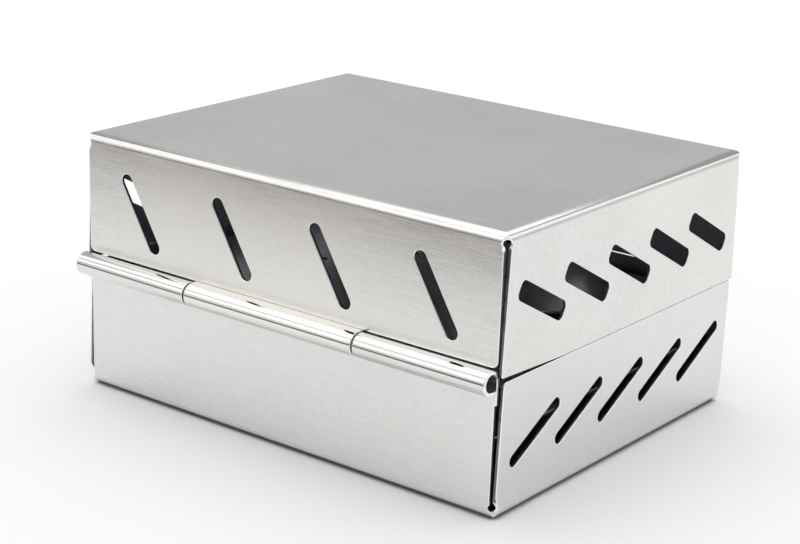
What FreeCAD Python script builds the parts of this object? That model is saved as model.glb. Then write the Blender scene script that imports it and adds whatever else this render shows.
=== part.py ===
"""Folded sheet-metal instrument box: a hinged lid with steam slots and a lift-out rack.

X runs along the hinge, the hinge is at the back (+Y) and Z points up.
The origin is the middle of the base's underside.
"""
import FreeCAD, Part
import math
import os
import Sketcher

SIZES = {
    # Shells, all bent from one thickness of sheet
    "box_length": 111.3,
    "base_depth": 87.8,
    "box_height": 57.9,
    "lid_overhang": 0.8,
    "sheet_thickness": 0.8,
    "lid_bend_radius": 2.0,
    "base_bend_radius": 2.4,
    "rim_height": 28.4,
    # The lid's lower edge stands level above the rim, then rises towards the hinge
    "lid_gap": 0.1,
    "lid_gap_back": 1.0,
    "lid_rise_length": 21.8,
    # Open corner seams: how far each wall ends from the corner, at its bend and at its free edge
    "lid_panel_inset": 0.9,
    "lid_back_root": 1.45,
    "lid_back_free": 0.3,
    "lid_front_root": 1.0,
    "lid_front_free": 0.25,
    "base_panel_inset": 1.35,
    "base_back_root": 0.2,
    "base_back_free": 1.2,
    "base_front_root": 0.7,
    "base_front_free": 0.2,
    # Rounded free corners of the walls
    "lid_back_corner": 1.5,
    "lid_side_corner": 0.4,
    "base_side_corner": 0.6,
    "front_corner": 0.6,
    # Countersunk round reliefs at the seams' ends
    "relief_radius": 0.75,
    "relief_reach": 3.0,
    "relief_drop": 0.25,
    "relief_sink_start": 0.5,
    "relief_sink_depth": 1.5,
    "relief_sink_angle": 60.0,
    # Hinge
    "hinge_rise": 0.4,
    "pin_radius": 1.7,
    "pin_clearance": 0.05,
    "pin_recess": 3.0,
    "pin_chamfer": 0.25,
    "knuckle_length": 45.0,
    "knuckle_offset": 0.1,
    "knuckle_gap": 0.5,
    "knuckle_inset": 0.85,
    "knuckle_leg": 5.0,
    "roll_gap": 0.15,
    "hinge_clearance": 0.5,
    # Slots in the back and front of the lid; leans are in degrees from the level
    "lid_slot_count": 4,
    "lid_slot_pitch": 26.3,
    "lid_slot_offset": -0.2,
    "lid_slot_height": 42.45,
    "lid_slot_span": 15.4,
    "lid_slot_width": 3.0,
    "lid_slot_lean": 59.0,
    # Slots in the sides of the lid
    "lid_side_slot_count": 5,
    "lid_side_slot_pitch": 15.75,
    "lid_side_slot_offset": -0.4,
    "lid_side_slot_height": 41.95,
    "lid_side_slot_span": 13.6,
    "lid_side_slot_width": 4.1,
    "lid_side_slot_corner": 1.3,
    "lid_side_slot_lean": 28.5,
    # Slots in the sides of the base
    "base_side_slot_count": 5,
    "base_side_slot_pitch": 15.65,
    "base_side_slot_offset": -0.1,
    "base_side_slot_height": 15.0,
    "base_side_slot_span": 15.9,
    "base_side_slot_width": 2.7,
    "base_side_slot_lean": 28.5,
    # Lift-out rack
    "rack_length": 106.0,
    "rack_depth": 81.6,
    "rack_height": 25.0,
    "rack_bend_radius": 1.6,
    "rack_flange": 5.0,
    "rack_corner_cut": 2.0,
    "rack_foot_width": 14.0,
    "rack_arch_height": 17.0,
    "rack_arch_radius": 4.0,
    "finger_hole_radius": 8.0,
    "finger_hole_inset": 13.0,
    "hole_radius": 1.25,
    "hole_columns": 5,
    "hole_rows": 3,
    "hole_pitch_x": 12.5,
    "hole_pitch_y": 18.0,
    # Guide plate held by tabs in the rack's legs
    "guide_height": 12.0,
    "guide_length": 99.0,
    "guide_clearance": 0.1,
    "tab_width": 8.0,
    "tab_stand_out": 0.5,
}

LEFT = 1
RIGHT = -1
NODES = ("base_shell", "lid_shell", "hinge_pin", "rack_frame", "guide_plate")

doc = FreeCAD.newDocument("instrument_box")
sheet = doc.addObject("Spreadsheet::Sheet", "sizes")


def fill_sheet():
    """Write each driving dimension beside its name and give the cell that name as alias."""
    for row, (name, value) in enumerate(SIZES.items(), start=1):
        sheet.set("A%d" % row, name)
        sheet.set("B%d" % row, str(value))
        sheet.setAlias("B%d" % row, name)
    doc.recompute()


def size(name):
    """The expression for one named cell."""
    return "sizes.%s" % name


def number(expression):
    """The present value of an expression."""
    return float(sheet.evalExpression(expression))


def plane(body, role):
    """One of the body's own origin planes or axes."""
    for feature in body.Origin.OriginFeatures:
        if feature.Role == role:
            return feature
    raise ValueError("no origin feature " + role)


def new_sketch(body, name, role):
    """An empty sketch on an origin plane of its body."""
    sketch = body.newObject("Sketcher::SketchObject", name)
    sketch.AttachmentSupport = (plane(body, role), [""])
    sketch.MapMode = "FlatFace"
    return sketch


def bind_datum(sketch, constraint, expression):
    """Add a dimension that follows an expression."""
    index = sketch.addConstraint(constraint)
    sketch.setExpression("Constraints[%d]" % index, expression)


def bind_point(sketch, geometry, end, across, upward):
    """Fix one end of a line or arc, or a centre, by its two coordinates."""
    for kind, text in (("DistanceX", across), ("DistanceY", upward)):
        bind_datum(sketch, Sketcher.Constraint(kind, geometry, end, number(text)), text)


def arc_edge(start, finish, radius, turn, large):
    """An arc from start to finish that bends to the left or right, over half a turn if large."""
    chord = finish - start
    rise = math.sqrt(max(radius ** 2 - chord.Length ** 2 / 4, 0))
    side = turn * (-1 if large else 1)
    sideways = FreeCAD.Vector(-chord.y, chord.x, 0).normalize()
    centre = (start + finish) / 2 + sideways * side * rise
    first, last = (start, finish) if turn == LEFT else (finish, start)
    begin = math.atan2(first.y - centre.y, first.x - centre.x)
    end = math.atan2(last.y - centre.y, last.x - centre.x)
    if end < begin:
        end += 2 * math.pi
    circle = Part.Circle(centre, FreeCAD.Vector(0, 0, 1), radius)
    return Part.ArcOfCircle(circle, begin, end)


def draw_outline(sketch, steps):
    """Draw a closed outline of straight runs and arcs.

    A step is (across, upward) for a straight run to the next step, or
    (across, upward, radius, turn, large) for an arc to it. Lengths are expressions.
    """
    points = [FreeCAD.Vector(number(step[0]), number(step[1]), 0) for step in steps]
    ends = []
    for index, step in enumerate(steps):
        start = points[index]
        finish = points[(index + 1) % len(steps)]
        if len(step) == 2:
            geometry = sketch.addGeometry(Part.LineSegment(start, finish))
            ends.append((geometry, 1, 2))
        else:
            radius, turn, large = step[2:]
            geometry = sketch.addGeometry(arc_edge(start, finish, number(radius), turn, large))
            ends.append((geometry, 1, 2) if turn == LEFT else (geometry, 2, 1))
    for index, step in enumerate(steps):
        geometry, start, finish = ends[index]
        following = ends[(index + 1) % len(steps)]
        joint = Sketcher.Constraint("Coincident", geometry, finish, following[0], following[1])
        sketch.addConstraint(joint)
        bind_point(sketch, geometry, start, step[0], step[1])
        if len(step) > 2:
            bind_datum(sketch, Sketcher.Constraint("Radius", geometry, number(step[2])), step[2])


def draw_rectangle(sketch, left, bottom, right, top):
    """Draw an upright rectangle between two corners."""
    draw_outline(sketch, [(left, bottom), (right, bottom), (right, top), (left, top)])


def draw_slot(sketch, across, upward, span, width, lean):
    """Draw a round-ended slot: span lies between its two end centres, lean is from the level."""
    half_x = "%s / 2 * cos(%s)" % (span, lean)
    half_y = "%s / 2 * sin(%s)" % (span, lean)
    centres = [("%s + %s" % (across, half_x), "%s + %s" % (upward, half_y)),
               ("%s - %s" % (across, half_x), "%s - %s" % (upward, half_y))]
    radius = number(width) / 2
    tilt = math.radians(number(lean))
    normal = FreeCAD.Vector(0, 0, 1)
    caps = []
    for turn, (x, y) in enumerate(centres):
        centre = FreeCAD.Vector(number(x), number(y), 0)
        begin = tilt + (turn - 0.5) * math.pi
        arc = Part.ArcOfCircle(Part.Circle(centre, normal, radius), begin, begin + math.pi)
        caps.append(sketch.addGeometry(arc))
    for first, second in ((caps[0], caps[1]), (caps[1], caps[0])):
        start = sketch.getPoint(first, 2)
        finish = sketch.getPoint(second, 1)
        side = sketch.addGeometry(Part.LineSegment(start, finish))
        sketch.addConstraint(Sketcher.Constraint("Tangent", first, 2, side, 1))
        sketch.addConstraint(Sketcher.Constraint("Tangent", side, 2, second, 1))
    for cap, (x, y) in zip(caps, centres):
        bind_point(sketch, cap, 3, x, y)
    sketch.addConstraint(Sketcher.Constraint("Equal", caps[0], caps[1]))
    bind_datum(sketch, Sketcher.Constraint("Radius", caps[0], radius), "%s / 2" % width)


def draw_blunt_slot(sketch, across, upward, span, width, lean, corner):
    """Draw a slot with flat ends and rounded corners, as long and wide as a round-ended one."""
    far = "(%s + %s) / 2" % (span, width)
    wide = "%s / 2" % width
    near = "(%s - %s)" % (far, corner)
    slim = "(%s - %s)" % (wide, corner)

    def place(along, beside):
        """A place in the slot's own directions, turned by its lean."""
        return ("%s + (%s) * cos(%s) - (%s) * sin(%s)" % (across, along, lean, beside, lean),
                "%s + (%s) * sin(%s) + (%s) * cos(%s)" % (upward, along, lean, beside, lean))

    bend = (corner, LEFT, False)
    draw_outline(sketch, [
        place(near, "-" + wide) + bend,
        place(far, "-" + slim),
        place(far, slim) + bend,
        place(near, wide),
        place("-" + near, wide) + bend,
        place("-(%s)" % far, slim),
        place("-(%s)" % far, "-" + slim) + bend,
        place("-" + near, "-" + wide),
    ])


def draw_circle(sketch, across, upward, radius):
    """Draw one circle."""
    centre = FreeCAD.Vector(number(across), number(upward), 0)
    circle = Part.Circle(centre, FreeCAD.Vector(0, 0, 1), number(radius))
    geometry = sketch.addGeometry(circle)
    bind_point(sketch, geometry, 3, across, upward)
    bind_datum(sketch, Sketcher.Constraint("Radius", geometry, number(radius)), radius)


def pad_both_ways(body, name, sketch, length):
    """Pad a profile to both sides of its plane."""
    pad = body.newObject("PartDesign::Pad", name)
    pad.Profile = sketch
    pad.SideType = "Symmetric"
    pad.setExpression("Length", length)
    body.Tip = pad
    return pad


def cut_through(body, name, sketch, side="Symmetric", backwards=False):
    """Pocket a sketch through the whole body and check that it removed material."""
    doc.recompute()
    before = body.Shape.Volume
    pocket = body.newObject("PartDesign::Pocket", name)
    pocket.Profile = sketch
    pocket.Type = "ThroughAll"
    pocket.SideType = side
    pocket.Reversed = backwards
    body.Tip = pocket
    doc.recompute()
    if body.Shape.Volume >= before:
        raise RuntimeError(name + " removes nothing")
    return pocket


def repeat(body, name, feature, runs):
    """Repeat a feature along one or two of the body's axes: each run is (axis, pitch, count)."""
    pattern = body.newObject("PartDesign::LinearPattern", name)
    pattern.Originals = [feature]
    for suffix, (axis, pitch, count) in zip(("", "2"), runs):
        setattr(pattern, "Direction" + suffix, (plane(body, axis), [""]))
        setattr(pattern, "Mode" + suffix, "Spacing")
        pattern.setExpression("Offset" + suffix, pitch)
        pattern.setExpression("Occurrences" + suffix, count)
    body.Tip = pattern
    return pattern


def first_of(offset, pitch, count):
    """Where a centred row of equal pitches begins."""
    return "%s - %s * (%s - 1) / 2" % (offset, pitch, count)


# Places that several pieces share
THICK = size("sheet_thickness")
HALF_LENGTH = size("box_length") + " / 2"
BACK = size("base_depth") + " / 2"
RIM = size("rim_height")
BASE_FRONT = "-" + BACK
LID_FRONT = "-%s - %s" % (BACK, size("lid_overhang"))
BORE = "(%s + %s)" % (size("pin_radius"), size("pin_clearance"))
ROLL = "(%s + %s)" % (BORE, THICK)
AXIS_Y = "(%s - %s + %s)" % (BACK, THICK, ROLL)
AXIS_Z = "(%s + %s)" % (RIM, size("hinge_rise"))
ROLL_RISE = "sqrt(%s^2 - %s^2)" % (ROLL, BORE)
CLEAR = size("hinge_clearance")
LID_BACK_EDGE = "%s + %s + %s" % (AXIS_Z, ROLL_RISE, CLEAR)
BASE_NOTCH = "%s - %s - %s" % (AXIS_Z, ROLL_RISE, CLEAR)
LID_EDGE = "%s + %s" % (RIM, size("lid_gap"))
LID_EDGE_BACK = "%s + %s" % (RIM, size("lid_gap_back"))
KNUCKLE_END = "(%s - %s)" % (HALF_LENGTH, size("knuckle_inset"))
FOOT_END = "(%s / 2 - %s)" % (size("rack_length"), size("rack_corner_cut"))
FOOT_MIDDLE = "(%s - %s / 2)" % (FOOT_END, size("rack_foot_width"))
OUTSIDE = "%s * 2" % size("box_length")
DIAGONAL = "sqrt(0.5)"


def channel_outline(low_side, high_side, plate, edge_low, edge_high, radius, up):
    """A folded channel: two walls joined by a plate through two bends.

    plate is the height of the plate's outer face; up is 1 where the walls rise from it
    and -1 where they hang from it.
    """
    sign = "+" if up > 0 else "-"
    inner = "(%s - %s)" % (radius, THICK)
    turn = LEFT if up > 0 else RIGHT
    bend = "%s %s %s" % (plate, sign, radius)
    inside = "%s %s %s" % (plate, sign, THICK)
    return [
        (low_side, edge_low),
        (low_side, bend, radius, turn, False),
        ("%s + %s" % (low_side, radius), plate),
        ("%s - %s" % (high_side, radius), plate, radius, turn, False),
        (high_side, bend),
        (high_side, edge_high),
        ("%s - %s" % (high_side, THICK), edge_high),
        ("%s - %s" % (high_side, THICK), bend, inner, -turn, False),
        ("%s - %s" % (high_side, radius), inside),
        ("%s + %s" % (low_side, radius), inside, inner, -turn, False),
        ("%s + %s" % (low_side, THICK), bend),
        ("%s + %s" % (low_side, THICK), edge_low),
    ]


def trim_outline(corners, roots, tips, edges, radius, crown, up, rounding=None, kinks=()):
    """A folded wall seen square on, together with the bends that cross it.

    Each pair runs from low to high: the box's corners, where the wall starts at the bend,
    where it ends at its free edge, and how high that edge is. crown is the plate's outer face.
    """
    grow, shrink = ("+", "-") if up > 0 else ("-", "+")
    turn = LEFT if up > 0 else RIGHT
    bend = "%s %s %s" % (crown, grow, radius)
    low, high = corners
    steps = [
        (low, bend, radius, turn, False),
        ("%s + %s" % (low, radius), crown),
        ("%s - %s" % (high, radius), crown, radius, turn, False),
        (high, bend),
        (roots[1], bend),
    ]
    if rounding is None:
        steps += [(tips[1], edges[1]), (tips[0], edges[0])]
    else:
        steps += [
            (tips[1], "%s %s %s" % (edges[1], shrink, rounding), rounding, turn, False),
            ("%s - %s" % (tips[1], rounding), edges[1]),
            *kinks,
            ("%s + %s" % (tips[0], rounding), edges[0], rounding, turn, False),
            (tips[0], "%s %s %s" % (edges[0], shrink, rounding)),
        ]
    steps.append((roots[0], bend))
    return steps


def trim_wall(body, name, role, outline, side="Symmetric", backwards=False):
    """Cut away everything outside an outline seen square to the wall."""
    sketch = new_sketch(body, name + "_outline", role)
    far = OUTSIDE + " * 2"
    draw_rectangle(sketch, "-" + far, "-" + far, far, far)
    draw_outline(sketch, outline)
    return cut_through(body, name, sketch, side, backwards)


def knuckle_outline(up):
    """The rolled end of a wall: its leg, the roll round the pin and the flat tail."""
    grow = "+" if up > 0 else "-"
    turn = LEFT if up > 0 else RIGHT
    leg = "%s %s %s" % (AXIS_Z, grow, size("knuckle_leg"))
    outer = "%s %s %s" % (AXIS_Z, grow, ROLL)
    inner = "%s %s %s" % (AXIS_Z, grow, BORE)
    tail = "%s + %s" % (BACK, size("roll_gap"))
    return [
        ("%s - %s" % (BACK, THICK), leg),
        ("%s - %s" % (BACK, THICK), AXIS_Z, ROLL, turn, True),
        (AXIS_Y, outer),
        (tail, outer),
        (tail, inner),
        (AXIS_Y, inner, BORE, -turn, True),
        (BACK, AXIS_Z),
        (BACK, leg),
    ]


def make_knuckle(name, up, middle, length):
    """A rolled knuckle of one length, centred at one place along the hinge."""
    body = doc.addObject("PartDesign::Body", name)
    sketch = new_sketch(body, name + "_profile", "YZ_Plane")
    draw_outline(sketch, knuckle_outline(up))
    pad_both_ways(body, name + "_pad", sketch, length)
    body.setExpression("Placement.Base.x", middle)
    return body


def slot_row(body, name, role, axis, backwards=False):
    """A row of leaning slots cut through both walls; its sizes start with its name."""
    pitch = size(name + "_pitch")
    count = size(name + "_count")
    lean = size(name + "_lean")
    if backwards:
        lean = "(180 - %s)" % lean
    sketch = new_sketch(body, name + "_first", role)
    shape = (first_of(size(name + "_offset"), pitch, count), size(name + "_height"),
             size(name + "_span"), size(name + "_width"), lean)
    if name + "_corner" in SIZES:
        draw_blunt_slot(sketch, *shape, size(name + "_corner"))
    else:
        draw_slot(sketch, *shape)
    pocket = cut_through(body, name + "_pocket", sketch)
    return repeat(body, name + "_row", pocket, [(axis, pitch, count)])


def corner_reliefs(name, panel_inset, walls, height):
    """Round reliefs where the open seams meet the bends, each sunk into its corner.

    Each wall is (direction, face, root): which way it faces, where its outer face lies and
    how far the side walls end from it.
    """
    radius = size("relief_radius")
    sunk = "%s + %s * tan(%s)" % (radius, size("relief_sink_depth"), size("relief_sink_angle"))
    tools = [
        ("Part::Cylinder", size("relief_reach"),
         {"Radius": radius, "Height": "2 * " + size("relief_reach")}),
        ("Part::Cone", size("relief_sink_start"),
         {"Radius1": radius, "Radius2": sunk, "Height": size("relief_sink_depth")}),
    ]
    drills = []
    for side in (-1, 1):
        for end, face, root in walls:
            middle = ("%d * (%s - %s / 2)" % (side, HALF_LENGTH, panel_inset),
                      "%s - %d * %s / 2" % (face, end, root))
            for kind, start, sizes in tools:
                drill = doc.addObject(kind, "%s_%d" % (name, len(drills) + 1))
                outward = FreeCAD.Vector(side, end, 0)
                drill.Placement.Rotation = FreeCAD.Rotation(FreeCAD.Vector(0, 0, 1), outward)
                for attribute, expression in sizes.items():
                    drill.setExpression(attribute, expression)
                for axis, place, sign in zip("xy", middle, (side, end)):
                    drill.setExpression("Placement.Base." + axis,
                                        "%s - %d * %s * %s" % (place, sign, start, DIAGONAL))
                drill.setExpression("Placement.Base.z", height)
                drills.append(drill)
    return drills


def join_and_relieve(label, pieces, drills):
    """Join the folded channels and knuckles of one sheet and drill its corner reliefs."""
    joined = doc.addObject("Part::MultiFuse", label + "_joined")
    joined.Shapes = pieces
    joined.Refine = True
    holes = doc.addObject("Part::MultiFuse", label + "_reliefs")
    holes.Shapes = drills
    shell = doc.addObject("Part::Cut", label)
    shell.Base = joined
    shell.Tool = holes
    shell.Refine = True
    shell.Label = label
    return shell


def make_base_shell():
    """The base: floor, four walls, slotted sides and the two outer knuckles."""
    radius = size("base_bend_radius")
    ends = ("-" + HALF_LENGTH, HALF_LENGTH)
    panel_end = "(%s - %s)" % (HALF_LENGTH, size("base_panel_inset"))
    panel = ("-" + panel_end, panel_end)
    long_way = doc.addObject("PartDesign::Body", "base_long_fold")
    profile = new_sketch(long_way, "base_long_profile", "YZ_Plane")
    draw_outline(profile, channel_outline(BASE_FRONT, BACK, "0", RIM, AXIS_Z, radius, 1))
    pad_both_ways(long_way, "base_long_pad", profile, OUTSIDE)
    trim_wall(long_way, "base_back_trim", "XZ_Plane",
              trim_outline(ends, panel, panel, (AXIS_Z, AXIS_Z), radius, "0", 1),
              side="One side", backwards=False)
    trim_wall(long_way, "base_front_trim", "XZ_Plane",
              trim_outline(ends, panel, panel, (RIM, RIM), radius, "0", 1,
                           size("front_corner")),
              side="One side", backwards=True)
    notch = new_sketch(long_way, "base_notch_outline", "XZ_Plane")
    half = "(%s / 2 + %s)" % (size("knuckle_length"), size("knuckle_gap"))
    shift = size("knuckle_offset")
    draw_rectangle(notch, "%s - %s" % (shift, half), BASE_NOTCH,
                   "%s + %s" % (shift, half), OUTSIDE)
    cut_through(long_way, "base_notch", notch, side="One side", backwards=False)

    cross_way = doc.addObject("PartDesign::Body", "base_cross_fold")
    profile = new_sketch(cross_way, "base_cross_profile", "XZ_Plane")
    draw_outline(profile, channel_outline(*ends, "0", RIM, RIM, radius, 1))
    pad_both_ways(cross_way, "base_cross_pad", profile, OUTSIDE)
    roots = ("%s + %s" % (BASE_FRONT, size("base_front_root")),
             "%s - %s" % (BACK, size("base_back_root")))
    tips = ("%s + %s" % (BASE_FRONT, size("base_front_free")),
            "%s - %s" % (BACK, size("base_back_free")))
    trim_wall(cross_way, "base_side_trim", "YZ_Plane",
              trim_outline((BASE_FRONT, BACK), roots, tips, (RIM, RIM), radius, "0", 1,
                           size("base_side_corner")))
    slot_row(cross_way, "base_side_slot", "YZ_Plane", "Y_Axis", backwards=True)

    knuckles = []
    for name, sign in (("base_knuckle_left", "-"), ("base_knuckle_right", "")):
        far = sign + KNUCKLE_END
        near = "(%s %s %s)" % (shift, "-" if sign else "+", half)
        length = "abs(%s - %s)" % (far, near)
        knuckles.append(make_knuckle(name, -1, "(%s + %s) / 2" % (far, near), length))
    walls = [(-1, BASE_FRONT, size("base_front_root")), (1, BACK, size("base_back_root"))]
    height = "%s + %s" % (radius, size("relief_drop"))
    drills = corner_reliefs("base_relief", size("base_panel_inset"), walls, height)
    return join_and_relieve("base_shell", [long_way, cross_way] + knuckles, drills)


def make_lid_shell():
    """The lid: top, four walls, slots all round and the middle knuckle."""
    radius = size("lid_bend_radius")
    top = size("box_height")
    ends = ("-" + HALF_LENGTH, HALF_LENGTH)
    panel_end = "(%s - %s)" % (HALF_LENGTH, size("lid_panel_inset"))
    panel = ("-" + panel_end, panel_end)
    long_way = doc.addObject("PartDesign::Body", "lid_long_fold")
    profile = new_sketch(long_way, "lid_long_profile", "YZ_Plane")
    draw_outline(profile, channel_outline(LID_FRONT, BACK, top, LID_EDGE, LID_BACK_EDGE,
                                          radius, -1))
    pad_both_ways(long_way, "lid_long_pad", profile, OUTSIDE)
    trim_wall(long_way, "lid_back_trim", "XZ_Plane",
              trim_outline(ends, panel, panel, (LID_BACK_EDGE, LID_BACK_EDGE), radius, top, -1,
                           size("lid_back_corner")),
              side="One side", backwards=False)
    trim_wall(long_way, "lid_front_trim", "XZ_Plane",
              trim_outline(ends, panel, panel, (LID_EDGE, LID_EDGE), radius, top, -1,
                           size("front_corner")),
              side="One side", backwards=True)
    slot_row(long_way, "lid_slot", "XZ_Plane", "X_Axis")

    cross_way = doc.addObject("PartDesign::Body", "lid_cross_fold")
    profile = new_sketch(cross_way, "lid_cross_profile", "XZ_Plane")
    draw_outline(profile, channel_outline(*ends, top, LID_EDGE, LID_EDGE, radius, -1))
    pad_both_ways(cross_way, "lid_cross_pad", profile, OUTSIDE)
    roots = ("%s + %s" % (LID_FRONT, size("lid_front_root")),
             "%s - %s" % (BACK, size("lid_back_root")))
    tips = ("%s + %s" % (LID_FRONT, size("lid_front_free")),
            "%s - %s" % (BACK, size("lid_back_free")))
    kink = ("%s - %s" % (BACK, size("lid_rise_length")), LID_EDGE)
    trim_wall(cross_way, "lid_side_trim", "YZ_Plane",
              trim_outline((LID_FRONT, BACK), roots, tips, (LID_EDGE, LID_EDGE_BACK), radius,
                           top, -1, size("lid_side_corner"), [kink]))
    slot_row(cross_way, "lid_side_slot", "YZ_Plane", "Y_Axis")

    knuckle = make_knuckle("lid_knuckle", 1, size("knuckle_offset"), size("knuckle_length"))
    walls = [(-1, LID_FRONT, size("lid_front_root")), (1, BACK, size("lid_back_root"))]
    height = "%s - %s - %s" % (top, radius, size("relief_drop"))
    drills = corner_reliefs("lid_relief", size("lid_panel_inset"), walls, height)
    return join_and_relieve("lid_shell", [long_way, cross_way, knuckle], drills)


def make_hinge_pin():
    """The pin through all three knuckles, its ends well inside the tube."""
    body = doc.addObject("PartDesign::Body", "hinge_pin")
    sketch = new_sketch(body, "pin_section", "YZ_Plane")
    draw_circle(sketch, AXIS_Y, AXIS_Z, size("pin_radius"))
    length = "2 * (%s - %s)" % (KNUCKLE_END, size("pin_recess"))
    pad = pad_both_ways(body, "pin_pad", sketch, length)
    doc.recompute()
    rims = ["Edge%d" % (index + 1) for index, edge in enumerate(pad.Shape.Edges)
            if edge.Closed and isinstance(edge.Curve, Part.Circle)]
    chamfer = body.newObject("PartDesign::Chamfer", "pin_ends")
    chamfer.Base = (pad, rims)
    chamfer.setExpression("Size", size("pin_chamfer"))
    body.Tip = chamfer
    return body


def instrument_holes(body, name):
    """The grid of round holes that the rack and its guide plate share."""
    pitch_x = size("hole_pitch_x")
    pitch_y = size("hole_pitch_y")
    columns = size("hole_columns")
    rows = size("hole_rows")
    sketch = new_sketch(body, name + "_first", "XY_Plane")
    draw_circle(sketch, first_of("0", pitch_x, columns), first_of("0", pitch_y, rows),
                size("hole_radius"))
    pocket = cut_through(body, name + "_pocket", sketch)
    return repeat(body, name + "_grid", pocket,
                  [("X_Axis", pitch_x, columns), ("Y_Axis", pitch_y, rows)])


def make_rack_frame():
    """The rack: a pierced plate with short end flanges and two legs that stand on the floor."""
    body = doc.addObject("PartDesign::Body", "rack_frame")
    radius = size("rack_bend_radius")
    half_length = "(%s / 2)" % size("rack_length")
    half_depth = "(%s / 2)" % size("rack_depth")
    cut = size("rack_corner_cut")
    top = "(%s + %s)" % (THICK, size("rack_height"))
    flange = "%s - %s" % (top, size("rack_flange"))

    legs = new_sketch(body, "rack_leg_profile", "YZ_Plane")
    draw_outline(legs, channel_outline("-" + half_depth, half_depth, top, THICK, THICK, radius, -1))
    pad_both_ways(body, "rack_legs", legs, "2 * " + FOOT_END)
    ends = new_sketch(body, "rack_end_profile", "XZ_Plane")
    draw_outline(ends, channel_outline("-" + half_length, half_length, top, flange, flange,
                                       radius, -1))
    pad_both_ways(body, "rack_ends", ends, "2 * (%s - %s)" % (half_depth, cut))

    arch = new_sketch(body, "rack_arch_outline", "XZ_Plane")
    side = "(%s - %s)" % (FOOT_END, size("rack_foot_width"))
    crown = "(%s + %s)" % (THICK, size("rack_arch_height"))
    bend = size("rack_arch_radius")
    below = "-" + OUTSIDE
    draw_outline(arch, [
        ("-" + side, below),
        (side, below),
        (side, "%s - %s" % (crown, bend), bend, LEFT, False),
        ("%s - %s" % (side, bend), crown),
        ("-%s + %s" % (side, bend), crown, bend, LEFT, False),
        ("-" + side, "%s - %s" % (crown, bend)),
    ])
    cut_through(body, "rack_arches", arch)

    fingers = new_sketch(body, "finger_hole_outline", "XY_Plane")
    reach = "(%s - %s)" % (half_length, size("finger_hole_inset"))
    for sign in ("-", ""):
        draw_circle(fingers, sign + reach, "0", size("finger_hole_radius"))
    cut_through(body, "finger_holes", fingers)
    cut_tab_slots(body)
    instrument_holes(body, "rack_hole")
    return body


def cut_tab_slots(body):
    """Slots in the rack's feet that take the guide plate's tabs."""
    sketch = new_sketch(body, "tab_slot_outline", "XZ_Plane")
    gap = size("guide_clearance")
    low = "%s + %s - %s" % (THICK, size("guide_height"), gap)
    high = "%s + %s + 2 * %s" % (low, THICK, gap)
    reach = "(%s / 2 + %s)" % (size("tab_width"), gap)
    for sign in ("-", ""):
        middle = sign + FOOT_MIDDLE
        draw_rectangle(sketch, "%s - %s" % (middle, reach), low,
                       "%s + %s" % (middle, reach), high)
    cut_through(body, "tab_slots", sketch)


def make_guide_plate():
    """The lower plate that keeps the instruments upright, with tabs that reach through the legs."""
    body = doc.addObject("PartDesign::Body", "guide_plate")
    half_length = "(%s / 2)" % size("guide_length")
    leg = "(%s / 2 - %s)" % (size("rack_depth"), THICK)
    half_depth = "(%s - %s)" % (leg, size("guide_clearance"))
    reach = "(%s / 2 + %s)" % (size("rack_depth"), size("tab_stand_out"))
    profile = new_sketch(body, "guide_profile", "YZ_Plane")
    low = "%s + %s" % (THICK, size("guide_height"))
    draw_rectangle(profile, "-" + reach, low, reach, low + " + " + THICK)
    pad_both_ways(body, "guide_pad", profile, "2 * " + half_length)
    waste = new_sketch(body, "guide_edge_outline", "XY_Plane")
    half_tab = "(%s / 2)" % size("tab_width")
    spans = [("-" + OUTSIDE, "-%s - %s" % (FOOT_MIDDLE, half_tab)),
             ("-%s + %s" % (FOOT_MIDDLE, half_tab), "%s - %s" % (FOOT_MIDDLE, half_tab)),
             ("%s + %s" % (FOOT_MIDDLE, half_tab), OUTSIDE)]
    for left, right in spans:
        draw_rectangle(waste, left, half_depth, right, OUTSIDE)
        draw_rectangle(waste, left, "-" + OUTSIDE, right, "-" + half_depth)
    cut_through(body, "guide_edges", waste)
    instrument_holes(body, "guide_hole")
    return body


def check_document():
    """Stop if any object failed or any sub-part is empty, broken or not one solid."""
    for item in doc.Objects:
        if any(word in item.State for word in ("Invalid", "Error")):
            raise RuntimeError("%s failed: %s" % (item.Name, item.State))
    for name in NODES:
        shape = node_object(name).Shape
        if shape.isNull() or not shape.isValid() or len(shape.Solids) != 1:
            raise RuntimeError(name + " is not one valid solid")


def node_object(name):
    """The document object that carries a sub-part's name."""
    return doc.getObjectsByLabel(name)[0]


def write_parts():
    """Write each sub-part under its own name and report its volume."""
    os.makedirs("parts", exist_ok=True)
    for name in NODES:
        shape = node_object(name).Shape
        shape.exportStep("parts/%s.step" % name)
        print("%s %.1f mm3" % (name, shape.Volume))


fill_sheet()
make_base_shell()
make_lid_shell()
make_hinge_pin()
make_rack_frame()
make_guide_plate()
doc.recompute()
check_document()
write_parts()
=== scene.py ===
import math

import bmesh
import bpy
from mathutils import Matrix, Vector


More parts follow.
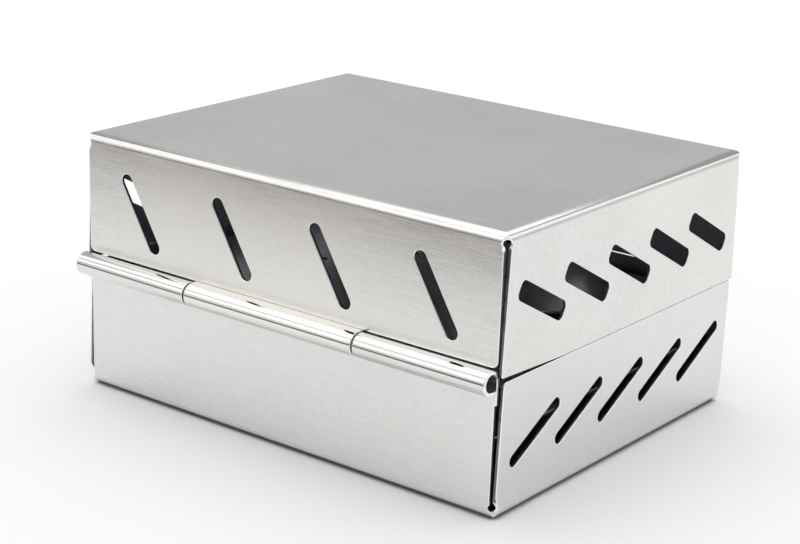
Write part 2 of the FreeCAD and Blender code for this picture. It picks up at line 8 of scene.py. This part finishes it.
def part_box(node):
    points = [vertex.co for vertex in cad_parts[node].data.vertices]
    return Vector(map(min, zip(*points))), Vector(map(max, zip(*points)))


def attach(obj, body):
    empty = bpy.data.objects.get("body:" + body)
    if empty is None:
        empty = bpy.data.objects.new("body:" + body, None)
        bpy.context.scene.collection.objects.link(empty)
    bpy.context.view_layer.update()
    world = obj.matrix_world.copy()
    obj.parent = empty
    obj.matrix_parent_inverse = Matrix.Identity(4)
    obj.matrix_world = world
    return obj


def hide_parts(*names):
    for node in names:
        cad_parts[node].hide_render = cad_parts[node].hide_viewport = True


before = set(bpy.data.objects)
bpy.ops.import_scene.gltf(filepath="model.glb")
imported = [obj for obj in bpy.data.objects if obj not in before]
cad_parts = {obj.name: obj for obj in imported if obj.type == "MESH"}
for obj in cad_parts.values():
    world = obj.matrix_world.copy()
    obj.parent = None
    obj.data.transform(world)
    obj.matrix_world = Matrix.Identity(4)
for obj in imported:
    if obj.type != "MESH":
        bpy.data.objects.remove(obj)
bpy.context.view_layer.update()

MM = 0.001

# Camera of the photograph, in the frame of the part, with its angles in radians
CAMERA_PLACE = Vector((-251.97, 332.20, 161.64)) * MM
CAMERA_YAW = 0.65407
CAMERA_PITCH = 0.31019
CAMERA_ROLL = 0.03255
FOCAL_PIXELS = 1983.7
IMAGE_WIDTH = 800
SENSOR_WIDTH = 36.0
CLIP_START = 10 * MM

# Edges left by punching and shearing, lightly broken
WELD = 0.002 * MM
EDGE_ANGLE = math.radians(35)
EDGE_BREAK = 0.17 * MM
EDGE_DRAW = 0.5
MITRE_LEAST = 0.5
SETTLE_ROUNDS = 10
SETTLE_KEEP = 0.6
SETTLE_TURN = 0.97

# What a face of a sheet is, which is also its place in the sheet's list of materials
OUTER, INNER, CUT, RIM = range(4)

# The sheet is rolled round the pin from just behind the back wall's outer face
HINGE_REACH = 4.2 * MM
HINGE_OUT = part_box("base_shell")[1][1] - HINGE_REACH
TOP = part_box("lid_shell")[1][2]
CORNER_ROOM = 4 * MM

# How often each mark on the steel comes in a metre, every way alike or along X, Y and Z
FINE_GRAIN = (150.0, 6000.0, 6000.0)
COARSE_GRAIN = (70.0, 2300.0, 2300.0)
SCRATCHES = (160.0, 2200.0, 700.0)
DRAWN_LINES = (14.0, 1500.0, 1500.0)
CLOUDS = 520.0
SPECKS = 110.0
BLOTCHES = 75.0
BENDS = 60.0
PATCHES = 16.0
CUT_MARKS = 2500.0
CUT_STAINS = 300.0

# Specks show only in cells whose random value is above this
SPECK_CHANCE = 0.90

# How strongly each mark changes the shade
COARSE_SHADE = 1.1
FINE_SHADE = 0.6
CLOUD_SHADE = 0.55
BLOTCH_SHADE = 0.30
SPECK_SHADE = -0.45
SCRATCH_SHADE = 0.12
LINE_SHADE = 0.8

# Where each mark shows: from and to a normal's Y, a distance or a noise value
LONG_WALL = (0.5, 0.9)
SPECK_EDGE = (0.012, 0.03)
SCRATCH_EDGE = (0.735, 0.76)
SCRATCH_PATCH = (0.52, 0.62)
LINE_EDGE = (0.57, 0.66)
WARM_PATCH = (0.35, 0.65)
CUT_TONES = (0.7, 1.3)

# The steel's shades and finish
DARKEST = 0.80
BRIGHTEST = 1.12
SHADE_MIDDLE = 0.62
YELLOW = (1.0, 0.985, 0.955, 1)
GRAIN_OFF_WALL = 0.35
SCRATCH_BEND = (0.002, 0.002, 0.002)
DULLNESS = 0.10
CUT_DULLNESS = 0.2
BRUSHING = 0.35
GRAIN_BUMP = 0.08
FINE_HEIGHT = 0.5
GRAIN_DEPTH = 0.04 * MM
CUT_BUMP = 0.25
CUT_DEPTH = 0.03 * MM
POLISH_FADE = 0.3 * MM
POLISH_EVENS = 0.8
POLISH_SHINE = 0.62

# Floor and backdrop; the floor carries painted shade that darkens it towards the part and a
# painted contact shadow close under it, and in the steel's reflections it ends at the table's near
# edge
FLOOR_REACH = 3.0
FLOOR_NEAR = (0.925, 0.925, 0.925, 1)
FLOOR_FAR = (0.95, 0.95, 0.95, 1)
FLOOR_FADE = (0.08, 0.5)
BACKDROP = (0.955, 0.955, 0.955, 1)
# Painted contact shadow: the colour the floor takes close under the part
CONTACT_SHADOW = (0.30, 0.30, 0.30, 1)
CONTACT_REACH = 4 * MM
CONTACT_FADE = (0.1, 0.6)
TABLE_EDGE = 0.183
TABLE_BLUR = 0.02

# What the steel shows of the studio: a grey wall with a bright side panel, and on the
# camera's side two white ceiling panels with a gap between them, a wall below them and a
# dark room beyond the table. Places are parts of a direction of length 1
PANEL = (1.5, 1.5, 1.5, 1)
PANEL_START = 0.06
PANEL_GAP = (0.60, 0.60, 0.60, 1)
GAP_MIDDLE = 0.49
GAP_HALF = 0.05
GAP_BLUR = 0.02
SIDE_PANEL_MIDDLE = 0.36
SIDE_PANEL_EDGE = (0.14, 0.10)
SIDE_PANEL_TURN = (-0.2, -0.4)
FAR_WALL = (0.525, 0.53, 0.545, 1)
NEAR_WALL = (0.80, 0.79, 0.77, 1)
NEAR_WALL_TOP = 0.25
NEAR_WALL_TURN = (0.0, 0.25)
WALL_BLUR = 0.05
DARK_ROOM = (0.165, 0.132, 0.105, 1)
DARK_ROOM_TOP = 0.0
DARK_ROOM_BLUR = 0.03
FILL_LEVEL = 0.80


class Graph:
    """A short way to add nodes to a material or world and to join them."""

    def __init__(self, tree):
        self.tree = tree
        tree.nodes.clear()

    def add(self, kind, inputs=(), **settings):
        """Add a node, set its attributes, and set or link its inputs by name or number."""
        node = self.tree.nodes.new(kind)
        for key, value in settings.items():
            setattr(node, key, value)
        for key, value in dict(inputs).items():
            socket = node.inputs[key]
            if isinstance(value, bpy.types.NodeSocket):
                self.tree.links.new(value, socket)
            else:
                socket.default_value = value
        return node

    def math(self, operation, first, second=0.0, clamp=False):
        """One arithmetic node's result."""
        inputs = {0: first, 1: second}
        return self.add("ShaderNodeMath", inputs, operation=operation, use_clamp=clamp).outputs[0]

    def total(self, first, *others):
        """A sum."""
        for other in others:
            first = self.math("ADD", first, other)
        return first

    def product(self, first, second):
        """A product."""
        return self.math("MULTIPLY", first, second)

    def centred(self, noise, weight):
        """A noise value brought to swing about zero, and weighted."""
        return self.product(self.math("SUBTRACT", noise, 0.5), weight)

    def away(self, value, middle):
        """How far a value is from a middle."""
        return self.math("ABSOLUTE", self.math("SUBTRACT", value, middle))

    def ramp(self, value, low, high, to_low=0.0, to_high=1.0):
        """A smooth step between two values."""
        inputs = {"Value": value, "From Min": low, "From Max": high,
                  "To Min": to_low, "To Max": to_high}
        node = self.add("ShaderNodeMapRange", inputs, interpolation_type="SMOOTHSTEP")
        return node.outputs[0]

    def step(self, value, middle, blur):
        """A smooth step from 0 to 1 at a middle value."""
        return self.ramp(value, middle - blur, middle + blur)

    def noise(self, vector, scale=1.0, detail=2.0, roughness=0.5):
        """A noise value; its roughness is how much the finer detail counts."""
        inputs = {"Vector": vector, "Scale": scale, "Detail": detail, "Roughness": roughness}
        return self.add("ShaderNodeTexNoise", inputs).outputs["Fac"]

    def scaled(self, vector, factors):
        """A vector with each part multiplied."""
        node = self.add("ShaderNodeVectorMath", {0: vector, 1: factors}, operation="MULTIPLY")
        return node.outputs[0]

    def parts(self, vector):
        """A vector's X, Y and Z."""
        return self.add("ShaderNodeSeparateXYZ", {0: vector}).outputs

    def mix(self, factor, first, second):
        """A mix of two colours."""
        node = self.add("ShaderNodeMix", {0: factor, 6: first, 7: second}, data_type="RGBA")
        return node.outputs[2]

    def finish(self, shader):
        """Lead a shader out of a material."""
        self.add("ShaderNodeOutputMaterial", {0: shader.outputs[0]})


def new_material(name):
    """An empty node material and its graph."""
    material = bpy.data.materials.new(name)
    material.use_nodes = True
    return material, Graph(material.node_tree)


def toned(color, factor):
    """A darker or lighter colour, with the fourth part that a node's socket needs."""
    return tuple(min(channel * factor, 1.0) for channel in color) + (1,)


def specks(g, point):
    """Rare small dots."""
    cells = g.add("ShaderNodeTexVoronoi", {"Vector": point, "Scale": SPECKS, "Randomness": 1.0})
    chance = g.add("ShaderNodeSeparateColor", {0: cells.outputs["Color"]}).outputs[0]
    rare = g.math("GREATER_THAN", chance, SPECK_CHANCE)
    return g.product(rare, g.ramp(cells.outputs["Distance"], *SPECK_EDGE, to_low=1.0, to_high=0.0))


def scratches(g, point, patch):
    """Slightly bent scratches, in some patches only."""
    bend = g.scaled(g.noise(point, BENDS, detail=1.0), SCRATCH_BEND)
    bent = g.add("ShaderNodeVectorMath", {0: point, 1: bend}, operation="ADD").outputs[0]
    scratch = g.noise(g.scaled(bent, SCRATCHES), detail=0.0)
    return g.product(g.ramp(scratch, *SCRATCH_EDGE), g.ramp(patch, *SCRATCH_PATCH))


def polished(g, point, start, shade, level, height):
    """The shade, roughness and height of steel that is polished beyond start along Y.

    The polish evens out the grain and leaves a few drawn lines.
    """
    polish = g.ramp(g.parts(point)["Y"], start, start + POLISH_FADE)
    matte = g.math("SUBTRACT", 1.0, g.product(polish, POLISH_EVENS))
    drawn = g.noise(g.scaled(point, DRAWN_LINES))
    lines = g.product(g.ramp(drawn, *LINE_EDGE), polish)
    shade = g.math("SUBTRACT", g.product(shade, matte), g.product(lines, LINE_SHADE))
    level = g.product(level, g.math("SUBTRACT", 1.0, g.product(polish, POLISH_SHINE)))
    return shade, level, g.product(height, matte)


def steel(name, color, roughness, grain=1.0, mottle=1.0, polish_out=None, warmth=0.0):
    """Brushed stainless sheet: fine grain along X, cloudy marks, specks and light scratches.

    The grain shows most on the long walls. Beyond polish_out along Y the sheet is polished,
    as on the rolled hinge. Some patches are yellower, as far as warmth says.
    """
    material, g = new_material(name)
    place = g.add("ShaderNodeTexCoord").outputs
    point = place["Object"]
    long_wall = g.ramp(g.math("ABSOLUTE", g.parts(place["Normal"])["Y"]), *LONG_WALL)
    grain_level = g.ramp(long_wall, 0.0, 1.0, GRAIN_OFF_WALL * grain, grain)

    fine = g.noise(g.scaled(point, FINE_GRAIN), detail=3.0, roughness=0.65)
    coarse = g.noise(g.scaled(point, COARSE_GRAIN), detail=3.0, roughness=0.65)
    cloud = g.noise(point, CLOUDS, detail=4.0, roughness=0.7)
    blotch = g.noise(point, BLOTCHES, detail=3.0, roughness=0.55)
    patch = g.noise(point, PATCHES)

    streak = g.total(g.centred(coarse, COARSE_SHADE), g.centred(fine, FINE_SHADE))
    shade = g.total(g.product(streak, grain_level),
                    g.centred(cloud, CLOUD_SHADE * mottle),
                    g.centred(blotch, BLOTCH_SHADE * mottle),
                    g.product(specks(g, point), SPECK_SHADE),
                    g.product(scratches(g, point, patch), SCRATCH_SHADE))
    level = g.total(g.product(streak, g.product(grain_level, DULLNESS)),
                    g.centred(patch, DULLNESS), roughness)
    height = g.total(g.product(fine, FINE_HEIGHT), coarse)
    if polish_out is not None:
        shade, level, height = polished(g, point, polish_out, shade, level, height)

    bright = toned(color, BRIGHTEST)
    yellow = tuple(channel * factor for channel, factor in zip(bright, YELLOW))
    tone = g.mix(g.math("ADD", shade, SHADE_MIDDLE, clamp=True), toned(color, DARKEST), bright)
    tone = g.mix(g.ramp(patch, *WARM_PATCH, 0.0, warmth), tone, yellow)

    bump = g.add("ShaderNodeBump", {"Height": height, "Strength": GRAIN_BUMP,
                                    "Distance": GRAIN_DEPTH})
    along = g.add("ShaderNodeVectorTransform", {0: (1, 0, 0)}, vector_type="VECTOR",
                  convert_from="OBJECT", convert_to="WORLD")
    g.finish(g.add("ShaderNodeBsdfPrincipled", {
        "Base Color": tone, "Metallic": 1.0, "Roughness": level, "Normal": bump.outputs[0],
        "Anisotropic": BRUSHING, "Tangent": along.outputs[0]}))
    return material


def cut_steel(name, color, roughness, spread):
    """A punched or sheared edge: fine marks across the sheet and an uneven dullness."""
    material, g = new_material(name)
    point = g.add("ShaderNodeTexCoord").outputs["Object"]
    marks = g.noise(point, CUT_MARKS, detail=3.0, roughness=0.7)
    stain = g.noise(point, CUT_STAINS)
    tone = g.mix(g.ramp(g.total(marks, stain), *CUT_TONES),
                 toned(color, 1 - spread), toned(color, 1 + spread))
    level = g.total(g.centred(stain, CUT_DULLNESS), roughness)
    bump = g.add("ShaderNodeBump", {"Height": marks, "Strength": CUT_BUMP,
                                    "Distance": CUT_DEPTH})
    g.finish(g.add("ShaderNodeBsdfPrincipled", {
        "Base Color": tone, "Metallic": 1.0, "Roughness": level, "Normal": bump.outputs[0]}))
    return material


def working_copy(node_name):
    """A node's mesh in triangles, without doubled vertices."""
    work = bmesh.new()
    work.from_mesh(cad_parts[node_name].data)
    bmesh.ops.remove_doubles(work, verts=work.verts, dist=WELD)
    bmesh.ops.triangulate(work, faces=work.faces)
    work.verts.index_update()
    return work


def smooth_regions(work):
    """Sets of faces that join without crossing a sharp edge, the widest set first."""
    sharp = {edge for edge in work.edges
             if len(edge.link_faces) == 2 and edge.calc_face_angle() > EDGE_ANGLE}
    waiting = set(work.faces)
    regions = []
    while waiting:
        stack = [waiting.pop()]
        region = []
        while stack:
            face = stack.pop()
            region.append(face)
            for edge in face.edges:
                if edge in sharp:
                    continue
                for other in edge.link_faces:
                    if other in waiting:
                        waiting.remove(other)
                        stack.append(other)
        regions.append(region)
    return sorted(regions, key=lambda region: -sum(face.calc_area() for face in region))


def face_kind(face, rank):
    """What a face is, from its region's rank by area.

    The two widest regions of a sheet are its skins, and the outer one is the wider. The roll
    round the pin turns the sheet over, so beyond the hinge the skins change places. The ends
    of the roll and the countersinks at the corners take the rims' painted highlight.
    """
    middle = face.calc_center_median()
    rolled = middle.y > HINGE_OUT
    if rank < CUT:
        skins = (INNER, OUTER) if rolled else (OUTER, INNER)
        return skins[rank]
    cornered = not CORNER_ROOM < middle.z < TOP - CORNER_ROOM
    return RIM if rolled or cornered else CUT


def border_of(region):
    """The loops of a region's faces whose edge leads out of the region."""
    inside = set(region)
    return [loop for face in region for loop in face.loops
            if any(other not in inside for other in loop.edge.link_faces)]


def rim_offsets(region, border):
    """For each border vertex, the way into the region that gives an even rim."""
    normals = {}
    for face in region:
        for vertex in face.verts:
            normals[vertex] = normals.get(vertex, Vector()) + face.normal * face.calc_area()
    sides = {}
    for loop in border:
        first = loop.vert
        second = loop.link_loop_next.vert
        side = (normals[first] + normals[second]).cross(second.co - first.co).normalized()
        sides.setdefault(first, []).append(side)
        sides.setdefault(second, []).append(side)
    offsets = {}
    for vertex, ways in sides.items():
        middle = sum(ways, Vector()).normalized()
        offsets[vertex] = middle * EDGE_BREAK / max(middle.dot(ways[0]), MITRE_LEAST)
    return offsets


def triangle_normal(spots):
    """The direction that a triangle faces, or a zero vector where it has no area."""
    return (spots[1] - spots[0]).cross(spots[2] - spots[0]).normalized()


def settled(region, offsets):
    """The border vertices' inset places, drawn back wherever they would fold a small face."""
    places = {vertex: vertex.co + offset for vertex, offset in offsets.items()}
    touching = [face for face in region if any(vertex in offsets for vertex in face.verts)]
    for _ in range(SETTLE_ROUNDS):
        folded = set()
        for face in touching:
            spots = [places.get(vertex, vertex.co) for vertex in face.verts]
            if triangle_normal(spots).dot(face.normal) < SETTLE_TURN:
                folded.update(vertex for vertex in face.verts if vertex in offsets)
        if not folded:
            break
        for vertex in folded:
            places[vertex] = vertex.co.lerp(places[vertex], SETTLE_KEEP)
    return places


def rim_face(loop, copies, kind_of):
    """The corners and kind of the narrow face between a border edge and its inset copy."""
    first = loop.vert
    second = loop.link_loop_next.vert
    corners = [first.index, second.index, copies[second], copies[first]]
    beside = [kind_of[face] for face in loop.edge.link_faces]
    # Rims beside the outer skin take the painted highlight
    return corners, RIM if OUTER in beside else kind_of[loop.face]


def refined(node_name, materials):
    """The node's own form with its cut edges lightly broken, to stand for the node.

    Each border vertex stays, drawn in a little, and each region gets its own inset copy of it.
    materials are for the outer skin, the inner skin, cut edges and broken rims.
    """
    work = working_copy(node_name)
    regions = smooth_regions(work)
    kind_of = {face: face_kind(face, rank) for rank, region in enumerate(regions)
               for face in region}
    points = [vertex.co.copy() for vertex in work.verts]
    insets = {}
    flats = []
    rims = []
    for region in regions:
        border = border_of(region)
        copies = {}
        for vertex, place in settled(region, rim_offsets(region, border)).items():
            copies[vertex] = len(points)
            points.append(place)
            insets.setdefault(vertex.index, []).append(place)
        for face in region:
            flats.append(([copies.get(vertex, vertex.index) for vertex in face.verts],
                          kind_of[face]))
        for loop in border:
            rims.append(rim_face(loop, copies, kind_of))
    work.free()
    for index, places in insets.items():
        points[index] = points[index].lerp(sum(places, Vector()) / len(places), EDGE_DRAW)
    return sheet_mesh(node_name + "_finished", points, flats, rims, materials)


def sheet_mesh(name, points, flats, rims, materials):
    """An object of these faces with a smooth normal at each point.

    A point on an edge lies between rims only and takes its normal from them. Any other point
    takes it from the sheet, so that the narrow rims don't tilt the flat sheet beside them.
    """
    mesh = bpy.data.meshes.new(name)
    mesh.from_pydata(points, [], [corners for corners, kind in flats + rims])
    for material in materials:
        mesh.materials.append(material)
    sheet_points = {index for corners, kind in flats for index in corners}
    totals = [Vector() for _ in points]
    for face, (corners, kind) in zip(mesh.polygons, flats + rims):
        face.use_smooth = True
        face.material_index = kind
        is_flat = face.index < len(flats)
        for index in corners:
            if is_flat == (index in sheet_points):
                totals[index] += face.normal * face.area
    mesh.normals_split_custom_set_from_vertices([total.normalized() for total in totals])
    piece = bpy.data.objects.new(name, mesh)
    bpy.context.scene.collection.objects.link(piece)
    return piece


def dress(node_name, body, materials):
    """Replace a node by its refined copy."""
    piece = refined(node_name, materials)
    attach(piece, body)
    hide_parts(node_name)


def floor_material():
    """A plain pale floor that keeps the soft shadow, with painted shade near the part and a
    painted contact shadow.
    """
    material, g = new_material("floor_white")
    place = g.add("ShaderNodeTexCoord").outputs["Object"]
    distance = g.add("ShaderNodeVectorMath", {0: place}, operation="LENGTH").outputs["Value"]
    # Painted shade: the floor is darker near the part and lighter away from it
    color = g.mix(g.ramp(distance, *FLOOR_FADE), FLOOR_NEAR, FLOOR_FAR)
    off_table = g.step(g.parts(place)["Y"], TABLE_EDGE, TABLE_BLUR)
    reflected = g.add("ShaderNodeLightPath").outputs["Is Glossy Ray"]
    color = g.mix(g.product(off_table, reflected), color, DARK_ROOM)
    # Painted contact shadow: the floor turns dark grey where the part closes in over it
    open_sky = g.add("ShaderNodeAmbientOcclusion", {"Distance": CONTACT_REACH}).outputs["AO"]
    color = g.mix(g.ramp(open_sky, *CONTACT_FADE), CONTACT_SHADOW, color)
    g.finish(g.add("ShaderNodeBsdfDiffuse", {"Color": color}))
    return material


def make_floor():
    """A wide square under the part."""
    mesh = bpy.data.meshes.new("studio_floor")
    signs = ((-1, -1), (1, -1), (1, 1), (-1, 1))
    corners = [(FLOOR_REACH * x, FLOOR_REACH * y, 0) for x, y in signs]
    mesh.from_pydata(corners, [], [(0, 1, 2, 3)])
    mesh.materials.append(floor_material())
    floor = bpy.data.objects.new("studio_floor", mesh)
    bpy.context.scene.collection.objects.link(floor)


def room_color(g):
    """The studio's colour in each direction, as the steel shows it."""
    toward = g.parts(g.add("ShaderNodeTexCoord").outputs["Generated"])
    in_panels = g.step(g.away(toward["Y"], GAP_MIDDLE), GAP_HALF, GAP_BLUR)
    panels = g.mix(in_panels, PANEL_GAP, PANEL)
    at_side = g.product(g.ramp(toward["X"], *SIDE_PANEL_TURN),
                        g.ramp(g.away(toward["Z"], SIDE_PANEL_MIDDLE), *SIDE_PANEL_EDGE))
    far = g.mix(at_side, FAR_WALL, PANEL)
    near = g.mix(g.step(toward["Z"], NEAR_WALL_TOP, WALL_BLUR), NEAR_WALL, panels)
    near = g.mix(g.ramp(toward["X"], *NEAR_WALL_TURN), FAR_WALL, near)
    near = g.mix(g.step(toward["Z"], DARK_ROOM_TOP, DARK_ROOM_BLUR), DARK_ROOM, near)
    return g.mix(g.step(toward["Y"], PANEL_START, WALL_BLUR), far, near)


def make_world():
    """A pale backdrop for the camera, the studio for the steel and an even fill for the rest."""
    world = bpy.data.worlds.new("studio")
    world.use_nodes = True
    g = Graph(world.node_tree)
    studio = g.add("ShaderNodeBackground", {"Color": room_color(g), "Strength": 1.0})
    fill = g.add("ShaderNodeBackground", {"Color": (1, 1, 1, 1), "Strength": FILL_LEVEL})
    backdrop = g.add("ShaderNodeBackground", {"Color": BACKDROP, "Strength": 1.0})
    rays = g.add("ShaderNodeLightPath").outputs
    shiny = g.math("MAXIMUM", rays["Is Glossy Ray"], rays["Is Transmission Ray"])
    lit = g.add("ShaderNodeMixShader", {0: shiny, 1: fill.outputs[0], 2: studio.outputs[0]})
    whole = g.add("ShaderNodeMixShader", {0: rays["Is Camera Ray"], 1: lit.outputs[0],
                                          2: backdrop.outputs[0]})
    g.add("ShaderNodeOutputWorld", {0: whole.outputs[0]})
    bpy.context.scene.world = world


def make_lamp(name, place, aim, width, height, power):
    """A soft box that points at a place."""
    light = bpy.data.lights.new(name, "AREA")
    light.shape = "RECTANGLE"
    light.size = width
    light.size_y = height
    light.energy = power
    lamp = bpy.data.objects.new(name, light)
    lamp.location = place
    direction = Vector(aim) - Vector(place)
    lamp.rotation_euler = direction.to_track_quat("-Z", "Y").to_euler()
    bpy.context.scene.collection.objects.link(lamp)


def make_camera():
    """The photograph's viewpoint, from its yaw, pitch and roll."""
    forward = Vector((math.sin(CAMERA_YAW) * math.cos(CAMERA_PITCH),
                      -math.cos(CAMERA_YAW) * math.cos(CAMERA_PITCH), -math.sin(CAMERA_PITCH)))
    right = forward.cross(Vector((0, 0, 1))).normalized()
    up = right.cross(forward)
    tilted_right = right * math.cos(CAMERA_ROLL) + up * math.sin(CAMERA_ROLL)
    tilted_up = up * math.cos(CAMERA_ROLL) - right * math.sin(CAMERA_ROLL)
    matrix = Matrix((tilted_right, tilted_up, -forward)).transposed().to_4x4()
    matrix.translation = CAMERA_PLACE
    data = bpy.data.cameras.new("camera")
    data.sensor_width = SENSOR_WIDTH
    data.lens = SENSOR_WIDTH * FOCAL_PIXELS / IMAGE_WIDTH
    data.clip_start = CLIP_START
    camera = bpy.data.objects.new("camera", data)
    camera.matrix_world = matrix
    bpy.context.scene.collection.objects.link(camera)
    bpy.context.scene.camera = camera


base_outer = steel("base_outer", (0.76, 0.76, 0.745), roughness=0.27, grain=0.3, mottle=0.6,
                   polish_out=HINGE_OUT)
lid_outer = steel("lid_outer", (0.76, 0.757, 0.74), roughness=0.30, grain=1.9, mottle=1.2,
                  polish_out=HINGE_OUT, warmth=0.7)
# Painted shade: the inner skin is a darker, bluer copy of the same steel, standing for the shade
# inside the closed box
inner = steel("inner_skin_painted_shade", (0.43, 0.45, 0.50), roughness=0.38, grain=0.6, mottle=0.8)
rack_outer = steel("rack_outer", (0.66, 0.66, 0.655), roughness=0.30, grain=0.8)
pin_steel = steel("pin_steel", (0.30, 0.30, 0.295), roughness=0.38, grain=0.5)
# The cut edges' dark colour is partly the rough sheared steel and partly painted shade of the slot
# walls and recesses
shaded_cut_edge = cut_steel("shaded_cut_edge", (0.20, 0.20, 0.215), roughness=0.50, spread=0.30)
# Painted highlight: the broken rims, the ends of the roll and the corner countersinks are coloured
# near-white so that they show as a bright outline
broken_edge_painted_highlight = cut_steel("broken_edge_painted_highlight", (0.96, 0.96, 0.95), roughness=0.30, spread=0.04)

dress("base_shell", "base", [base_outer, inner, shaded_cut_edge, broken_edge_painted_highlight])
dress("lid_shell", "lid", [lid_outer, inner, shaded_cut_edge, broken_edge_painted_highlight])
dress("hinge_pin", "base", [pin_steel] * 4)
dress("rack_frame", "rack", [rack_outer, rack_outer, shaded_cut_edge, broken_edge_painted_highlight])
dress("guide_plate", "rack", [rack_outer, rack_outer, shaded_cut_edge, broken_edge_painted_highlight])

make_floor()
make_world()
make_lamp("top_box", place=(0.15, -0.1, 1.1), aim=(0, 0, 0), width=1.2, height=1.2, power=5.0)
make_camera()
bpy.context.scene.view_settings.view_transform = "Standard"
